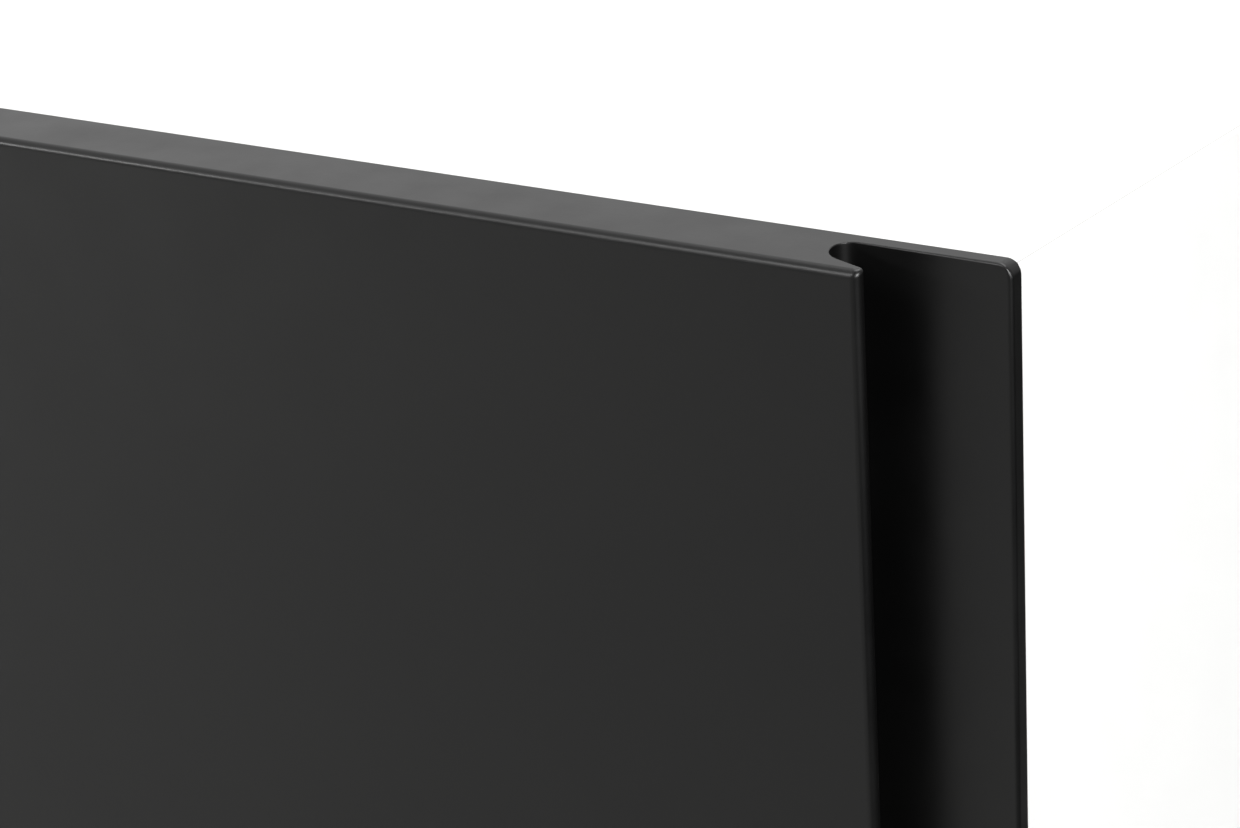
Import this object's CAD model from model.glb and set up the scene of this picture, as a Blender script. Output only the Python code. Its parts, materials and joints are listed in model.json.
"""A two-tone dresser: black lacquered drawer fronts with a milled grip, on a white carcass."""

import json
import math

import bmesh
import bpy
from mathutils import Matrix, Vector

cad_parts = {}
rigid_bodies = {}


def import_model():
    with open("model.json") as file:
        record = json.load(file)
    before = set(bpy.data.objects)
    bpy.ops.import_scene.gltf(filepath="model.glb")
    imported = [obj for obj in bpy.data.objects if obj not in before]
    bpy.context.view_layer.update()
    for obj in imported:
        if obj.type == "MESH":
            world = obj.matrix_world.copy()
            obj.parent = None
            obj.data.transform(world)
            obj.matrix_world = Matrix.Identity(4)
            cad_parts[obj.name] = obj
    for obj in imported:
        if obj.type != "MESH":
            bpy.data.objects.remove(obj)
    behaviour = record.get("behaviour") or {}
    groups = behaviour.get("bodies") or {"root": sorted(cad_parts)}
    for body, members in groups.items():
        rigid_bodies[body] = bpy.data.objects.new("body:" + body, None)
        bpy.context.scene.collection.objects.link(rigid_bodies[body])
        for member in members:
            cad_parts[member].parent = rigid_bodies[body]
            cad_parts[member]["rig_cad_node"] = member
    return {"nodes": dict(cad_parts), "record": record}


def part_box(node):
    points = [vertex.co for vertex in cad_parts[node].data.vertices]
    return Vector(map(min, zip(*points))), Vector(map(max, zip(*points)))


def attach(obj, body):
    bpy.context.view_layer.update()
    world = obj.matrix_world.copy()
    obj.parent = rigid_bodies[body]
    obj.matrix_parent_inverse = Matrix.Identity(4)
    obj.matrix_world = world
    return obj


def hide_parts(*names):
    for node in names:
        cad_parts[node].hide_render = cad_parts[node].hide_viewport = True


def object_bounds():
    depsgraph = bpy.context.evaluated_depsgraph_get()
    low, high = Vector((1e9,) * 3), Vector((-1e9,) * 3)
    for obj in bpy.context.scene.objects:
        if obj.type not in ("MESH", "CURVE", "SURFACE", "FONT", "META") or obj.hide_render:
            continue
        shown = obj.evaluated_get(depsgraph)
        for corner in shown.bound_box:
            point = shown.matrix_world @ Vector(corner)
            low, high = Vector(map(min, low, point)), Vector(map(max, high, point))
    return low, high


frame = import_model()
cad_low, cad_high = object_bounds()

MM = 0.001
DRAWERS = range(1, 5)

# The front's plan shape, as in the CAD model, measured from the lip's outer edge and the face
FACE_ARRIS = 1.8 * MM
LIP_THICKNESS = 4.0 * MM
LIP_ARRIS = 1.0 * MM
LIP_CORNER = 3.0 * MM
NOSE_REACH = 23.4 * MM
NOSE_HEEL = 1.0 * MM
UNDERCUT_REACH = 35.2 * MM
UNDERCUT_ANGLE = math.radians(20.0)
COVE_RADIUS = 7.0 * MM
BACK_ARRIS = 0.4 * MM

# How far each part of the outline is rounded over at the front's upper and lower edges
FACE_ROUND = 1.75 * MM
GRIP_ROUND = 0.25 * MM
HEEL_ROUND = 0.45 * MM
LIP_ROUND = 0.6 * MM
LIP_END_ROUND = 0.35 * MM
BACK_ROUND = 0.3 * MM

# Where the nose turns into its heel, the edge rounding shrinks to just under the heel's radius
NOSE_END_ROUND = 0.9 * NOSE_HEEL

# Steps of the outline's arcs, the undercut's wall, the rounded edges and the lip's corners
ARC_STEP = math.radians(6.0)
WALL_STEPS = 6
ROUND_STEPS = 7
CORNER_STEPS = 7

# Arrises of the boards, and the angles that tell a flat face and a sharp edge
CARCASS_ARRIS = 0.6 * MM
BOX_ARRIS = 0.8 * MM
PANEL_ARRIS = 0.3 * MM
ARRIS_SEGMENTS = 3
SAME_PLACE = 0.01 * MM
FLAT_ANGLE = math.radians(0.5)
EASED_ANGLE = math.radians(40.0)

# How strongly large faces pull the shading of the rounded edges beside them
FLAT_PULL = 90

# The top board's underside, where it sits flush on the sides, and the share of the arris its edges get there
JOINT_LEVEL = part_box("carcass_top")[0].z
FLUSH_SHARE = 0.08

# Edge bands on the carcass boards, and half the width of the fine joint beside them
BAND = 1.0 * MM
SEAM = 0.12 * MM

# Plies of the drawer boxes, and the share of each outer ply that is sanded away
BOX_PLIES = 9
BOTTOM_PLIES = 5
SANDED = 0.2

# The stretch of the wood's figure: small along the fibres, and the pores are finer than the figure
GRAIN_ALONG_X = (6.0, 90.0, 90.0)
GRAIN_ALONG_Y = (90.0, 6.0, 90.0)
PORE_STRETCH = 5.0

# How dark moulded plastic gets in places, as a share of its colour
DARKER_PLASTIC = 0.86

# A face looks backwards when its normal has more than this share along Y
TURNED_BACK = 0.6

# The wave texture turns 20 radians in each unit of length at a scale of 1
WAVE_TURN = 20.0

# The mix node's sockets for its two colours and for the blended one
MIX_COLORS = (6, 7)
MIX_RESULT = 2

# The camera, placed from the top front's outer upper corner
CAMERA_OFFSET = Vector((255.64, -463.82, 182.38)) * MM
CAMERA_AZIMUTH = math.radians(35.73)
CAMERA_ELEVATION = math.radians(20.99)
CAMERA_ROLL = math.radians(3.505)
CAMERA_LENS = 91.44
CAMERA_SENSOR = 36.0
CAMERA_CLIP = (0.02, 100.0)

# The floor's half width
FLOOR_REACH = 30.0

# The room's light, as seen from the dresser: it is bright towards one side, and dim away from it
ROOM_BRIGHT_SIDE = (-0.72, 0.62, 0.30)
ROOM_TURN = (-0.1, 0.85)
ROOM_BRIGHT = 0.82
ROOM_DIM = 0.30
ROOM_SEEN = 0.72

# The dark screen that stands on the floor to the dresser's right
FLAG_PLACE = 0.9
FLAG_SPAN = (-1.6, 3.0)
FLAG_HEIGHT = 0.9


# ---------------------------------------------------------------- meshes

def add_object(name, mesh):
    """A smooth-shaded object in the scene."""
    mesh.polygons.foreach_set("use_smooth", [True] * len(mesh.polygons))
    obj = bpy.data.objects.new(name, mesh)
    bpy.context.scene.collection.objects.link(obj)
    return obj


def add_mesh(name, vertices, faces):
    """An object from points and faces, with its normals turned outwards."""
    mesh = bpy.data.meshes.new(name)
    mesh.from_pydata([tuple(v) for v in vertices], [], faces)
    mesh.validate()
    bm = bmesh.new()
    bm.from_mesh(mesh)
    bmesh.ops.recalc_face_normals(bm, faces=bm.faces)
    bm.to_mesh(mesh)
    bm.free()
    return add_object(name, mesh)


def make_board(node, arris):
    """A board's own piece: the CAD board with its sharp edges eased, but hardly at the top board's joint."""
    bm = bmesh.new()
    bm.from_mesh(frame["nodes"][node].data)
    bmesh.ops.remove_doubles(bm, verts=bm.verts, dist=SAME_PLACE)
    bmesh.ops.dissolve_limit(bm, angle_limit=FLAT_ANGLE, verts=bm.verts, edges=bm.edges)
    weights = bm.edges.layers.float.new("bevel_weight_edge")
    for edge in bm.edges:
        flush = all(abs(vertex.co.z - JOINT_LEVEL) < SAME_PLACE for vertex in edge.verts)
        if len(edge.link_faces) == 2 and edge.calc_face_angle() > EASED_ANGLE:
            edge[weights] = FLUSH_SHARE if flush else 1.0
    mesh = bpy.data.meshes.new("board_" + node)
    bm.to_mesh(mesh)
    bm.free()
    board = add_object("board_" + node, mesh)
    bevel = board.modifiers.new("edges", "BEVEL")
    bevel.width = arris
    bevel.segments = ARRIS_SEGMENTS
    bevel.limit_method = "WEIGHT"
    bevel.use_clamp_overlap = False
    flatten(board)
    return board


def flatten(obj):
    """Keeps large faces flat in the shading, and puts the turn on the rounded edges."""
    weighted = obj.modifiers.new("normals", "WEIGHTED_NORMAL")
    weighted.mode = "FACE_AREA_WITH_ANGLE"
    weighted.weight = FLAT_PULL
    weighted.keep_sharp = False


def part_way(ends, share):
    """A value between two ends."""
    return ends[0] + (ends[1] - ends[0]) * share


def outline_arc(centre, radius, start, end, convex, rounding):
    """Points along an arc in plan: each is (place, outward normal, edge rounding)."""
    count = max(2, math.ceil(abs(end - start) / ARC_STEP))
    points = []
    for step in range(count + 1):
        angle = start + (end - start) * step / count
        way = Vector((math.cos(angle), math.sin(angle)))
        size = part_way(rounding, step / count)
        points.append((centre + way * radius, way if convex else -way, size))
    return points


def outline_line(start, end, normal, rounding, steps):
    """Points along a straight stretch, each as in outline_arc."""
    points = []
    for step in range(steps + 1):
        share = step / steps
        points.append((start.lerp(end, share), Vector(normal), part_way(rounding, share)))
    return points


def front_outline(left, right, face, back):
    """The front in plan, counter-clockwise from its left edge.

    It comes with the index of the lip's first point, and the number of points on each side of the lip.
    """
    quarter = math.pi / 2
    turn = UNDERCUT_ANGLE
    wall_normal = Vector((math.sin(turn), math.cos(turn)))
    lip_face = back - LIP_THICKNESS
    nose = Vector((right - NOSE_REACH - FACE_ARRIS, face + FACE_ARRIS))
    heel = Vector((right - NOSE_REACH - NOSE_HEEL, face + FACE_ARRIS))
    wall_start = heel + wall_normal * NOSE_HEEL
    cove_x = right - UNDERCUT_REACH + COVE_RADIUS
    wall_end_x = cove_x - COVE_RADIUS * wall_normal.x
    wall_end = Vector((wall_end_x, wall_start.y + (wall_start.x - wall_end_x) * math.tan(turn)))
    cove = wall_end + wall_normal * COVE_RADIUS
    corner_radius = lip_face - cove.y
    corner = Vector((right - UNDERCUT_REACH + corner_radius, cove.y))
    lip_start = Vector((right - LIP_CORNER, lip_face))
    lip_end = Vector((right - LIP_ARRIS, lip_face))
    lip_edge = Vector((right - LIP_ARRIS, lip_face + LIP_ARRIS))
    back_edge = Vector((right - BACK_ARRIS, back - BACK_ARRIS))
    face_size, grip_size = (FACE_ROUND, FACE_ROUND), (GRIP_ROUND, GRIP_ROUND)
    lip_size, back_size = (LIP_ROUND, LIP_ROUND), (BACK_ROUND, BACK_ROUND)
    left_face = Vector((left + FACE_ARRIS, face + FACE_ARRIS))
    parts = [
        outline_arc(left_face, FACE_ARRIS, -2 * quarter, -quarter, True, face_size),
        outline_arc(nose, FACE_ARRIS, -quarter, 0, True, (FACE_ROUND, NOSE_END_ROUND)),
        outline_arc(heel, NOSE_HEEL, 0, quarter - turn, True, (NOSE_END_ROUND, HEEL_ROUND))[1:],
        outline_line(wall_start, wall_end, wall_normal, (HEEL_ROUND, GRIP_ROUND), WALL_STEPS)[1:],
        outline_arc(cove, COVE_RADIUS, -quarter - turn, -2 * quarter, False, grip_size)[1:],
        outline_arc(corner, corner_radius, 2 * quarter, quarter, False, grip_size)[1:],
        outline_line(lip_start, lip_end, (0, -1), lip_size, CORNER_STEPS)[:-1],
    ]
    front_end = outline_arc(lip_edge, LIP_ARRIS, -quarter, 0, True, (LIP_ROUND, LIP_END_ROUND))
    back_end = outline_arc(back_edge, BACK_ARRIS, 0, quarter, True, (LIP_END_ROUND, BACK_ROUND))
    back_start = Vector((right - BACK_ARRIS, back))
    back_end_of_lip = Vector((right - LIP_CORNER, back))
    back_line = outline_line(back_start, back_end_of_lip, (0, 1), back_size, CORNER_STEPS)
    left_back = Vector((left + BACK_ARRIS, back - BACK_ARRIS))
    left_end = outline_arc(left_back, BACK_ARRIS, quarter, 2 * quarter, True, back_size)
    before = sum(parts, [])
    lip_first = len(before) - CORNER_STEPS
    ring = before + front_end + back_end + back_line[1:] + left_end
    return ring, lip_first, CORNER_STEPS + len(front_end)


def round_lip_corner(point, right, bottom, top):
    """Bends the lip's square outer corners into round ones, seen from the front."""
    across = (point.x - (right - LIP_CORNER)) / LIP_CORNER
    if across <= 0:
        return point
    for level, way in ((top, 1), (bottom, -1)):
        up = (way * (point.z - level) + LIP_CORNER) / LIP_CORNER
        if up > 0:
            x = right - LIP_CORNER + LIP_CORNER * across * math.sqrt(1 - up * up / 2)
            z = level - way * LIP_CORNER + way * LIP_CORNER * up * math.sqrt(1 - across * across / 2)
            return Vector((x, point.y, z))
    return point


def front_rows(ring, bottom, top):
    """Rows of points up a front: rounded over at both ends, and close together at the lip's corners."""
    rows = []
    for level, way in ((bottom, 1), (top, -1)):
        turns = []
        for step in range(ROUND_STEPS + 1):
            angle = math.pi / 2 * step / ROUND_STEPS
            row = []
            for place, normal, size in ring:
                spot = place - normal * size * (1 - math.sin(angle))
                row.append(Vector((spot.x, spot.y, level + way * size * (1 - math.cos(angle)))))
            turns.append(row)
        for step in range(1, CORNER_STEPS + 1):
            share = step / CORNER_STEPS
            row = []
            for place, normal, size in ring:
                row.append(Vector((place.x, place.y, level + way * part_way((size, LIP_CORNER), share))))
            turns.append(row)
        rows += turns if way > 0 else turns[::-1]
    return rows


def front_faces(row_count, count, lip_first, lip_count):
    """The faces between the rows, and the caps: the lip's own strip of faces, and one face for the rest."""
    faces = []
    for level in range(row_count - 1):
        lower, upper = level * count, (level + 1) * count
        for i in range(count):
            j = (i + 1) % count
            faces.append((lower + i, lower + j, upper + j, upper + i))
    lip = list(range(lip_first, lip_first + 2 * lip_count))
    for base in (0, (row_count - 1) * count):
        for step in range(lip_count - 1):
            near, far = lip[step], lip[-1 - step]
            faces.append((base + near, base + near + 1, base + far - 1, base + far))
        body = [i for i in range(count) if i <= lip[0] or i >= lip[-1]]
        faces.append(tuple(base + i for i in body))
    return faces


def make_front(number):
    """One lacquered front: its plan outline, carried up with every edge rounded over."""
    low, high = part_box("drawer_%d_front" % number)
    ring, lip_first, lip_count = front_outline(low.x, high.x, low.y, high.y)
    rows = front_rows(ring, low.z, high.z)
    vertices = [round_lip_corner(v, high.x, low.z, high.z) for row in rows for v in row]
    faces = front_faces(len(rows), len(ring), lip_first, lip_count)
    front = add_mesh("lacquered_front_%d" % number, vertices, faces)
    flatten(front)
    return front


# ---------------------------------------------------------------- material helpers

def new_material(name, color, roughness, metallic=0.0):
    """A material with its node tree and its shader."""
    material = bpy.data.materials.new(name)
    material.use_nodes = True
    tree = material.node_tree
    shader = tree.nodes["Principled BSDF"]
    shader.inputs["Base Color"].default_value = (*color, 1.0)
    shader.inputs["Roughness"].default_value = roughness
    shader.inputs["Metallic"].default_value = metallic
    return material, tree, shader


def place_of(tree, stretch=(1, 1, 1)):
    """Object coordinates in metres, stretched along each axis."""
    coordinates = tree.nodes.new("ShaderNodeTexCoord")
    mapping = tree.nodes.new("ShaderNodeMapping")
    mapping.inputs["Scale"].default_value = stretch
    tree.links.new(coordinates.outputs["Object"], mapping.inputs["Vector"])
    return mapping.outputs["Vector"]


def noise(tree, place, scale, detail=3.0, distortion=0.0):
    node = tree.nodes.new("ShaderNodeTexNoise")
    node.inputs["Scale"].default_value = scale
    node.inputs["Detail"].default_value = detail
    node.inputs["Distortion"].default_value = distortion
    tree.links.new(place, node.inputs["Vector"])
    return node.outputs["Fac"]


def spread(tree, value, low=0.0, high=1.0, start=0.3, end=0.7):
    """Maps start..end, by default a noise's middle range, to low..high."""
    node = tree.nodes.new("ShaderNodeMapRange")
    node.inputs["From Min"].default_value = start
    node.inputs["From Max"].default_value = end
    node.inputs["To Min"].default_value = low
    node.inputs["To Max"].default_value = high
    tree.links.new(value, node.inputs["Value"])
    return node.outputs["Result"]


def blend_colors(tree, factor, first, second):
    node = tree.nodes.new("ShaderNodeMix")
    node.data_type = "RGBA"
    for index, color in zip(MIX_COLORS, (first, second)):
        socket = node.inputs[index]
        if isinstance(color, bpy.types.NodeSocket):
            tree.links.new(color, socket)
        else:
            socket.default_value = (*color, 1.0)
    tree.links.new(factor, node.inputs[0])
    return node.outputs[MIX_RESULT]


def coordinate(tree, axis):
    split = tree.nodes.new("ShaderNodeSeparateXYZ")
    tree.links.new(place_of(tree), split.inputs[0])
    return split.outputs[axis]


def math_node(tree, operation, *values):
    node = tree.nodes.new("ShaderNodeMath")
    node.operation = operation
    for socket, value in zip(node.inputs, values):
        if isinstance(value, bpy.types.NodeSocket):
            tree.links.new(value, socket)
        else:
            socket.default_value = value
    return node.outputs[0]


def wave(tree, axis, radians_per_metre):
    node = tree.nodes.new("ShaderNodeTexWave")
    node.bands_direction = axis
    node.inputs["Scale"].default_value = radians_per_metre / WAVE_TURN
    tree.links.new(place_of(tree), node.inputs["Vector"])
    return node.outputs["Fac"]


def seam(tree, axis, level):
    """1 on a hairline at one level of an axis, 0 beside it."""
    return math_node(tree, "COMPARE", coordinate(tree, axis), level, SEAM)


def facing_back(tree, level):
    """1 on the faces that look backwards from one depth on, 0 elsewhere."""
    geometry = tree.nodes.new("ShaderNodeNewGeometry")
    split = tree.nodes.new("ShaderNodeSeparateXYZ")
    tree.links.new(geometry.outputs["Normal"], split.inputs[0])
    turned = math_node(tree, "GREATER_THAN", split.outputs["Y"], TURNED_BACK)
    deep = math_node(tree, "GREATER_THAN", coordinate(tree, "Y"), level - BAND)
    return math_node(tree, "MULTIPLY", turned, deep)


def bump(tree, shader, height, distance, strength, below=None):
    """A relief of a height of 0..1 times a distance in metres, laid over the relief below it."""
    node = tree.nodes.new("ShaderNodeBump")
    node.inputs["Distance"].default_value = distance
    node.inputs["Strength"].default_value = strength
    tree.links.new(height, node.inputs["Height"])
    if below:
        tree.links.new(below, node.inputs["Normal"])
    tree.links.new(node.outputs["Normal"], shader.inputs["Normal"])
    return node.outputs["Normal"]


def paint(obj, material):
    obj.data.materials.clear()
    obj.data.materials.append(material)


# ---------------------------------------------------------------- materials

def black_lacquer():
    """Satin lacquer: a fine orange peel, slightly uneven gloss, and a trace of dust in the colour."""
    material, tree, shader = new_material("satin_black_lacquer", (0.005, 0.005, 0.005), roughness=0.34)
    place = place_of(tree)
    cloud = noise(tree, place, scale=14.0, detail=4.0)
    tint = blend_colors(tree, spread(tree, cloud), (0.0013, 0.0013, 0.0014), (0.0024, 0.0024, 0.0023))
    tree.links.new(tint, shader.inputs["Base Color"])
    haze = noise(tree, place, scale=60.0, detail=5.0)
    tree.links.new(spread(tree, haze, low=0.31, high=0.38), shader.inputs["Roughness"])
    orange_peel = noise(tree, place, scale=900.0, detail=2.0)
    fine_peel = noise(tree, place, scale=5200.0, detail=2.0)
    peel = bump(tree, shader, orange_peel, distance=0.02 * MM, strength=0.5)
    bump(tree, shader, fine_peel, distance=0.006 * MM, strength=0.5, below=peel)
    return material


def melamine(name, node, bands=()):
    """White melamine on chipboard: edge bands with a fine joint at the front, and raw chips at the back."""
    low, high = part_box(node)
    material, tree, shader = new_material(name, (0.86, 0.86, 0.85), roughness=0.5)
    place = place_of(tree)
    cloud = noise(tree, place, scale=3.0)
    white = blend_colors(tree, spread(tree, cloud), (0.845, 0.845, 0.84), (0.875, 0.875, 0.868))
    joint = seam(tree, "Y", low.y + BAND)
    for level in bands:
        joint = math_node(tree, "MAXIMUM", joint, seam(tree, "X", level))
    white = blend_colors(tree, joint, white, (0.52, 0.51, 0.49))
    chips = tree.nodes.new("ShaderNodeTexVoronoi")
    chips.inputs["Scale"].default_value = 1.0
    tree.links.new(place_of(tree, (420.0, 420.0, 900.0)), chips.inputs["Vector"])
    crumbs = noise(tree, place, scale=700.0, detail=4.0)
    pressed = math_node(tree, "MULTIPLY", chips.outputs["Distance"], crumbs)
    raw_share = spread(tree, pressed, start=0.1, end=0.6)
    raw = blend_colors(tree, raw_share, (0.56, 0.43, 0.28), (0.27, 0.18, 0.10))
    behind = facing_back(tree, high.y)
    tree.links.new(blend_colors(tree, behind, white, raw), shader.inputs["Base Color"])
    haze = noise(tree, place, scale=90.0, detail=4.0)
    tree.links.new(spread(tree, haze, low=0.44, high=0.54), shader.inputs["Roughness"])
    relief = math_node(tree, "MULTIPLY", pressed, behind)
    grain = noise(tree, place, scale=2600.0)
    texture = bump(tree, shader, grain, distance=0.04 * MM, strength=0.5)
    texture = bump(tree, shader, relief, distance=0.4 * MM, strength=0.7, below=texture)
    flush = math_node(tree, "SUBTRACT", 1.0, joint)
    bump(tree, shader, flush, distance=0.1 * MM, strength=0.8, below=texture)
    return material


def hardboard(node):
    """The painted back panel: smooth inside, with the pressing screen's weave on its rear."""
    material, tree, shader = new_material("painted_hardboard", (0.80, 0.80, 0.79), roughness=0.55)
    place = place_of(tree)
    cloud = noise(tree, place, scale=5.0, detail=4.0)
    paint_color = blend_colors(tree, spread(tree, cloud), (0.77, 0.77, 0.755), (0.82, 0.82, 0.81))
    across = wave(tree, "X", radians_per_metre=950.0)
    upward = wave(tree, "Z", radians_per_metre=950.0)
    weave = math_node(tree, "MULTIPLY", across, upward)
    behind = facing_back(tree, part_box(node)[1].y)
    hollows = spread(tree, weave, low=0.55, high=0.0, start=0.0, end=0.5)
    shade = math_node(tree, "MULTIPLY", behind, hollows)
    tree.links.new(blend_colors(tree, shade, paint_color, (0.60, 0.58, 0.54)), shader.inputs["Base Color"])
    haze = noise(tree, place, scale=60.0)
    tree.links.new(spread(tree, haze, low=0.48, high=0.62), shader.inputs["Roughness"])
    woven = math_node(tree, "MULTIPLY", behind, weave)
    texture = bump(tree, shader, woven, distance=0.3 * MM, strength=0.8)
    grain = noise(tree, place, scale=1400.0)
    bump(tree, shader, grain, distance=0.05 * MM, strength=0.4, below=texture)
    return material


def plywood(name, node, axis, grain, plies):
    """Birch ply: long fibres along its faces, and its plies along its edges."""
    low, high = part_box(node)
    index = "XYZ".index(axis)
    start, thickness = low[index], high[index] - low[index]
    material, tree, shader = new_material(name, (0.74, 0.60, 0.42), roughness=0.5)
    figure = noise(tree, place_of(tree, grain), scale=1.0, detail=6.0, distortion=0.6)
    pore_grain = tuple(PORE_STRETCH * part for part in grain)
    pores = noise(tree, place_of(tree, pore_grain), scale=1.0)
    veneer = blend_colors(tree, spread(tree, figure), (0.76, 0.63, 0.46), (0.66, 0.51, 0.35))
    pore_share = spread(tree, pores, high=0.5, start=0.58, end=0.75)
    veneer = blend_colors(tree, pore_share, veneer, (0.50, 0.36, 0.22))
    scale = (plies - 2 * SANDED) / thickness
    depth = math_node(tree, "MULTIPLY_ADD", coordinate(tree, axis), scale, SANDED - start * scale)
    crossing = math_node(tree, "GREATER_THAN", math_node(tree, "FLOORED_MODULO", depth, 2.0), 1.0)
    end_grain = noise(tree, place_of(tree), scale=1600.0)
    core = blend_colors(tree, spread(tree, end_grain), (0.52, 0.38, 0.24), (0.40, 0.27, 0.16))
    glue = spread(tree, math_node(tree, "PINGPONG", depth, 0.5), low=0.8, high=0.0, start=0.02, end=0.09)
    color = blend_colors(tree, glue, blend_colors(tree, crossing, veneer, core), (0.20, 0.12, 0.07))
    tree.links.new(color, shader.inputs["Base Color"])
    tree.links.new(spread(tree, figure, low=0.40, high=0.54), shader.inputs["Roughness"])
    texture = bump(tree, shader, figure, distance=0.08 * MM, strength=0.4)
    bump(tree, shader, pores, distance=0.05 * MM, strength=0.4, below=texture)
    return material


def beech():
    """The dowels' wood. They don't all lie the same way, so its figure has no direction."""
    light, dark = (0.72, 0.54, 0.36), (0.60, 0.42, 0.26)
    material, tree, shader = new_material("beech", light, roughness=0.5)
    figure = noise(tree, place_of(tree, (200.0, 200.0, 200.0)), scale=1.0, detail=6.0, distortion=0.6)
    tree.links.new(blend_colors(tree, spread(tree, figure), light, dark), shader.inputs["Base Color"])
    tree.links.new(spread(tree, figure, low=0.42, high=0.58), shader.inputs["Roughness"])
    bump(tree, shader, figure, distance=0.1 * MM, strength=0.4)
    return material


def zinc():
    """Zinc-plated steel: cloudy plating, with drawing marks that run front to back, along the slides."""
    color = (0.62, 0.63, 0.64)
    material, tree, shader = new_material("zinc_plated_steel", color, roughness=0.34, metallic=0.55)
    place = place_of(tree)
    cloud = noise(tree, place, scale=120.0, detail=4.0)
    tint = blend_colors(tree, spread(tree, cloud), (0.56, 0.57, 0.58), (0.68, 0.69, 0.69))
    tree.links.new(tint, shader.inputs["Base Color"])
    drawn = noise(tree, place_of(tree, (900.0, 12.0, 900.0)), scale=1.0)
    tree.links.new(spread(tree, drawn, low=0.30, high=0.46), shader.inputs["Roughness"])
    bump(tree, shader, drawn, distance=0.02 * MM, strength=0.4)
    return material


def powder_coat():
    """Black powder coat with a fine texture."""
    material, tree, shader = new_material("black_powder_coat", (0.02, 0.02, 0.02), roughness=0.55)
    place = place_of(tree)
    grain = noise(tree, place, scale=1500.0)
    tint = blend_colors(tree, spread(tree, grain), (0.016, 0.016, 0.017), (0.028, 0.028, 0.029))
    tree.links.new(tint, shader.inputs["Base Color"])
    bump(tree, shader, grain, distance=0.12 * MM, strength=0.7)
    return material


def plastic(name, color, roughness):
    """Moulded plastic, a little darker in places."""
    material, tree, shader = new_material(name, color, roughness)
    place = place_of(tree)
    cloud = noise(tree, place, scale=40.0)
    darker = tuple(DARKER_PLASTIC * c for c in color)
    tree.links.new(blend_colors(tree, spread(tree, cloud), darker, color), shader.inputs["Base Color"])
    grain = noise(tree, place, scale=1800.0, detail=2.0)
    bump(tree, shader, grain, distance=0.03 * MM, strength=0.4)
    return material


# ---------------------------------------------------------------- build

def body_of(node):
    """The body that a board rides: its own drawer's, or the carcass."""
    return node[:len("drawer_1")] if node.startswith("drawer_") else "carcass"


MATERIALS = {
    "front_lacquer": black_lacquer(),
    "zinc_steel": zinc(),
    "beech": beech(),
    "bumper_rubber": plastic("clear_bumper", (0.75, 0.75, 0.74), roughness=0.3),
    "leg_paint": powder_coat(),
    "leg_plastic": plastic("black_plastic", (0.03, 0.03, 0.03), roughness=0.45),
}
SLOTS = {part["node"]: part["material_slot"] for part in frame["record"]["subparts"]}

top_low, top_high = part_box("carcass_top")
ends = (top_low.x + BAND, top_high.x - BAND)
banded = melamine("white_melamine", "carcass_side_right")
BOARDS = {
    "carcass_side_left": (banded, CARCASS_ARRIS),
    "carcass_side_right": (banded, CARCASS_ARRIS),
    "carcass_top": (melamine("white_melamine_top", "carcass_top", ends), CARCASS_ARRIS),
    "carcass_bottom": (banded, CARCASS_ARRIS),
    "hanging_rail": (melamine("white_melamine_rail", "hanging_rail"), PANEL_ARRIS),
    "back_panel": (hardboard("back_panel"), PANEL_ARRIS),
}
for number in DRAWERS:
    for kind, axis, grain, plies in (
        ("side_left", "X", GRAIN_ALONG_Y, BOX_PLIES),
        ("side_right", "X", GRAIN_ALONG_Y, BOX_PLIES),
        ("box_front", "Y", GRAIN_ALONG_X, BOX_PLIES),
        ("box_back", "Y", GRAIN_ALONG_X, BOX_PLIES),
        ("bottom", "Z", GRAIN_ALONG_X, BOTTOM_PLIES),
    ):
        node = "drawer_%d_%s" % (number, kind)
        arris = PANEL_ARRIS if kind == "bottom" else BOX_ARRIS
        BOARDS[node] = (plywood("birch_ply_%d_%s" % (number, kind), node, axis, grain, plies), arris)

for node, obj in frame["nodes"].items():
    if node in BOARDS:
        material, arris = BOARDS[node]
        board = make_board(node, arris)
        paint(board, material)
        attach(board, body_of(node))
        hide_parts(node)
    elif SLOTS[node] in MATERIALS:
        paint(obj, MATERIALS[SLOTS[node]])

for number in DRAWERS:
    front = make_front(number)
    paint(front, MATERIALS["front_lacquer"])
    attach(front, "drawer_%d" % number)
    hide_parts("drawer_%d_front" % number)


# ---------------------------------------------------------------- stage, light and camera

def make_floor():
    """A wide, matt, slightly uneven floor."""
    near, far = -FLOOR_REACH, FLOOR_REACH
    corners = [(near, near, 0), (far, near, 0), (far, far, 0), (near, far, 0)]
    floor = add_mesh("floor", corners, [(0, 1, 2, 3)])
    floor.location.z = cad_low.z
    material, tree, shader = new_material("pale_floor", (0.36, 0.36, 0.355), roughness=0.6)
    cloud = noise(tree, place_of(tree), scale=0.8)
    tint = blend_colors(tree, spread(tree, cloud), (0.345, 0.345, 0.34), (0.375, 0.375, 0.37))
    tree.links.new(tint, shader.inputs["Base Color"])
    shader.inputs["Specular IOR Level"].default_value = 0.0
    floor.data.materials.append(material)


def make_flag():
    """A low dark screen on the right that only reflections see, as a studio uses to keep gloss black."""
    near, far = FLAG_SPAN
    plan = [(near, 0), (far, 0), (far, FLAG_HEIGHT), (near, FLAG_HEIGHT)]
    flag = add_mesh("flag", [(FLAG_PLACE, y, z) for y, z in plan], [(0, 1, 2, 3)])
    flag.data.materials.append(new_material("flag", (0.02, 0.02, 0.02), roughness=0.9)[0])
    flag.visible_camera = False
    flag.visible_diffuse = False
    flag.visible_shadow = False


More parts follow.
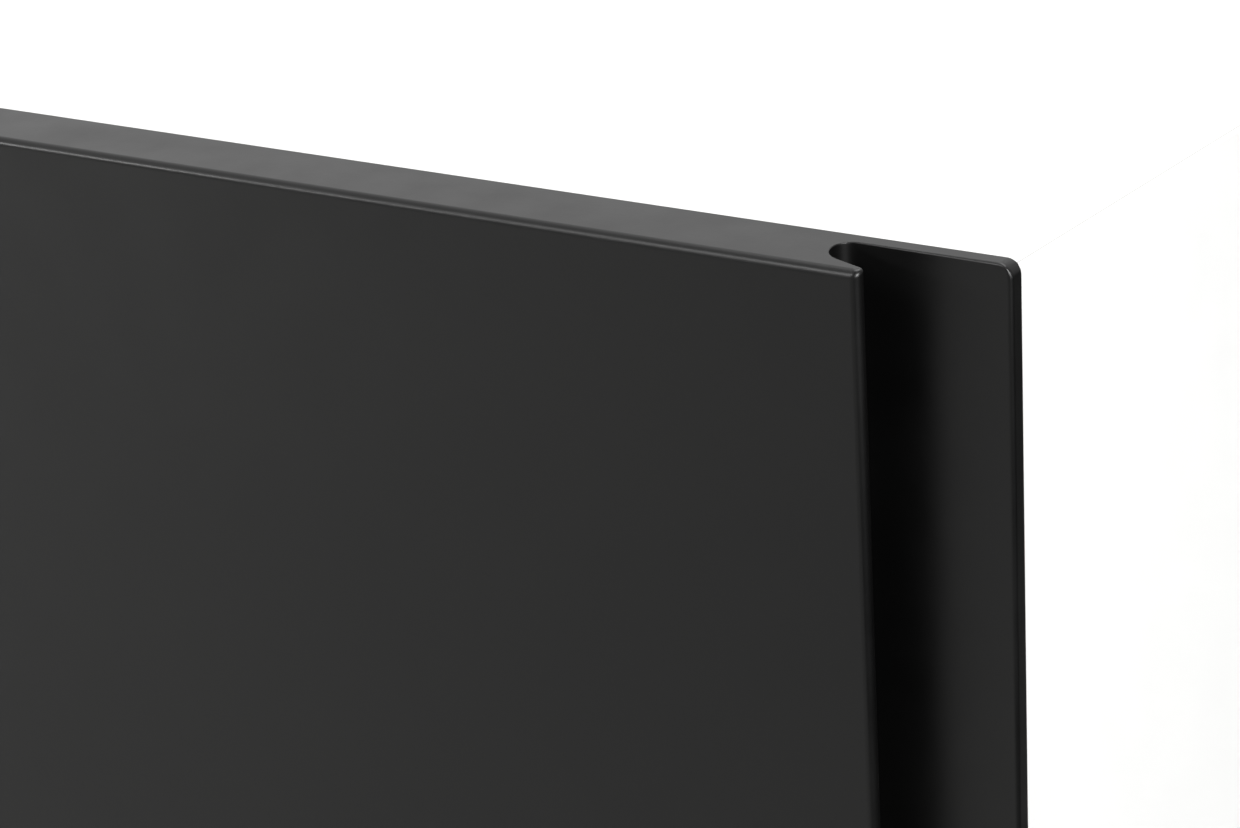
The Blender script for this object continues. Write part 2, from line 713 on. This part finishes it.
def soft_light(name, place, size, watts, target):
    """A square soft light that points at the target, and doesn't show to the camera."""
    data = bpy.data.lights.new(name, "AREA")
    data.shape = "RECTANGLE"
    data.size, data.size_y = size, size
    data.energy = watts
    light = bpy.data.objects.new(name, data)
    light.location = place
    light.visible_camera = False
    light.rotation_mode = "QUATERNION"
    light.rotation_quaternion = (Vector(target) - Vector(place)).to_track_quat("-Z", "Y")
    bpy.context.scene.collection.objects.link(light)


def make_world():
    """A pale room that lights the dresser mostly from behind on the left, and looks even to the camera."""
    world = bpy.data.worlds.new("studio")
    bpy.context.scene.world = world
    world.use_nodes = True
    tree = world.node_tree
    background = tree.nodes["Background"]
    background.inputs["Color"].default_value = (1.0, 1.0, 1.0, 1.0)
    direction = tree.nodes.new("ShaderNodeTexCoord").outputs["Generated"]
    toward = tree.nodes.new("ShaderNodeVectorMath")
    toward.operation = "DOT_PRODUCT"
    toward.inputs[1].default_value = ROOM_BRIGHT_SIDE
    tree.links.new(direction, toward.inputs[0])
    room = tree.nodes.new("ShaderNodeMapRange")
    room.interpolation_type = "SMOOTHSTEP"
    room.inputs["From Min"].default_value = ROOM_TURN[0]
    room.inputs["From Max"].default_value = ROOM_TURN[1]
    room.inputs["To Min"].default_value = ROOM_DIM
    room.inputs["To Max"].default_value = ROOM_BRIGHT
    tree.links.new(toward.outputs["Value"], room.inputs["Value"])
    path = tree.nodes.new("ShaderNodeLightPath")
    seen = tree.nodes.new("ShaderNodeMix")
    seen.inputs["B"].default_value = ROOM_SEEN
    tree.links.new(path.outputs["Is Camera Ray"], seen.inputs["Factor"])
    tree.links.new(room.outputs["Result"], seen.inputs["A"])
    tree.links.new(seen.outputs["Result"], background.inputs["Strength"])


def make_camera():
    """The view angle: close to the upper right corner of the top front."""
    low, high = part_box("drawer_1_front")
    corner = Vector((high.x, low.y, high.z))
    data = bpy.data.cameras.new("camera")
    data.lens = CAMERA_LENS
    data.sensor_width = CAMERA_SENSOR
    data.clip_start, data.clip_end = CAMERA_CLIP
    camera = bpy.data.objects.new("camera", data)
    sin_a, cos_a = math.sin(CAMERA_AZIMUTH), math.cos(CAMERA_AZIMUTH)
    sin_e, cos_e = math.sin(CAMERA_ELEVATION), math.cos(CAMERA_ELEVATION)
    ahead = Vector((-sin_a * cos_e, cos_a * cos_e, -sin_e))
    level = Vector((cos_a, sin_a, 0))
    down = ahead.cross(level)
    right = level * math.cos(CAMERA_ROLL) + down * math.sin(CAMERA_ROLL)
    lower = down * math.cos(CAMERA_ROLL) - level * math.sin(CAMERA_ROLL)
    turn = Matrix((right, -lower, -ahead)).transposed()
    camera.matrix_world = Matrix.Translation(corner + CAMERA_OFFSET) @ turn.to_4x4()
    bpy.context.scene.collection.objects.link(camera)
    bpy.context.scene.camera = camera


make_floor()
make_flag()
make_world()
make_camera()
soft_light("key", (-0.55, -1.95, 2.25), size=0.7, watts=13.0, target=(0.1, -0.1, 0.8))
soft_light("left", (-2.9, -2.7, 2.0), size=1.2, watts=112.0, target=(-2.9, -2.7, 0.0))
soft_light("right", (2.3, -1.2, 1.6), size=1.2, watts=60.0, target=(0.4, 0.0, 0.75))
soft_light("top", (0.3, 0.6, 3.0), size=1.6, watts=28.0, target=(0.0, 0.1, 0.9))
bpy.context.scene.view_settings.view_transform = "Standard"
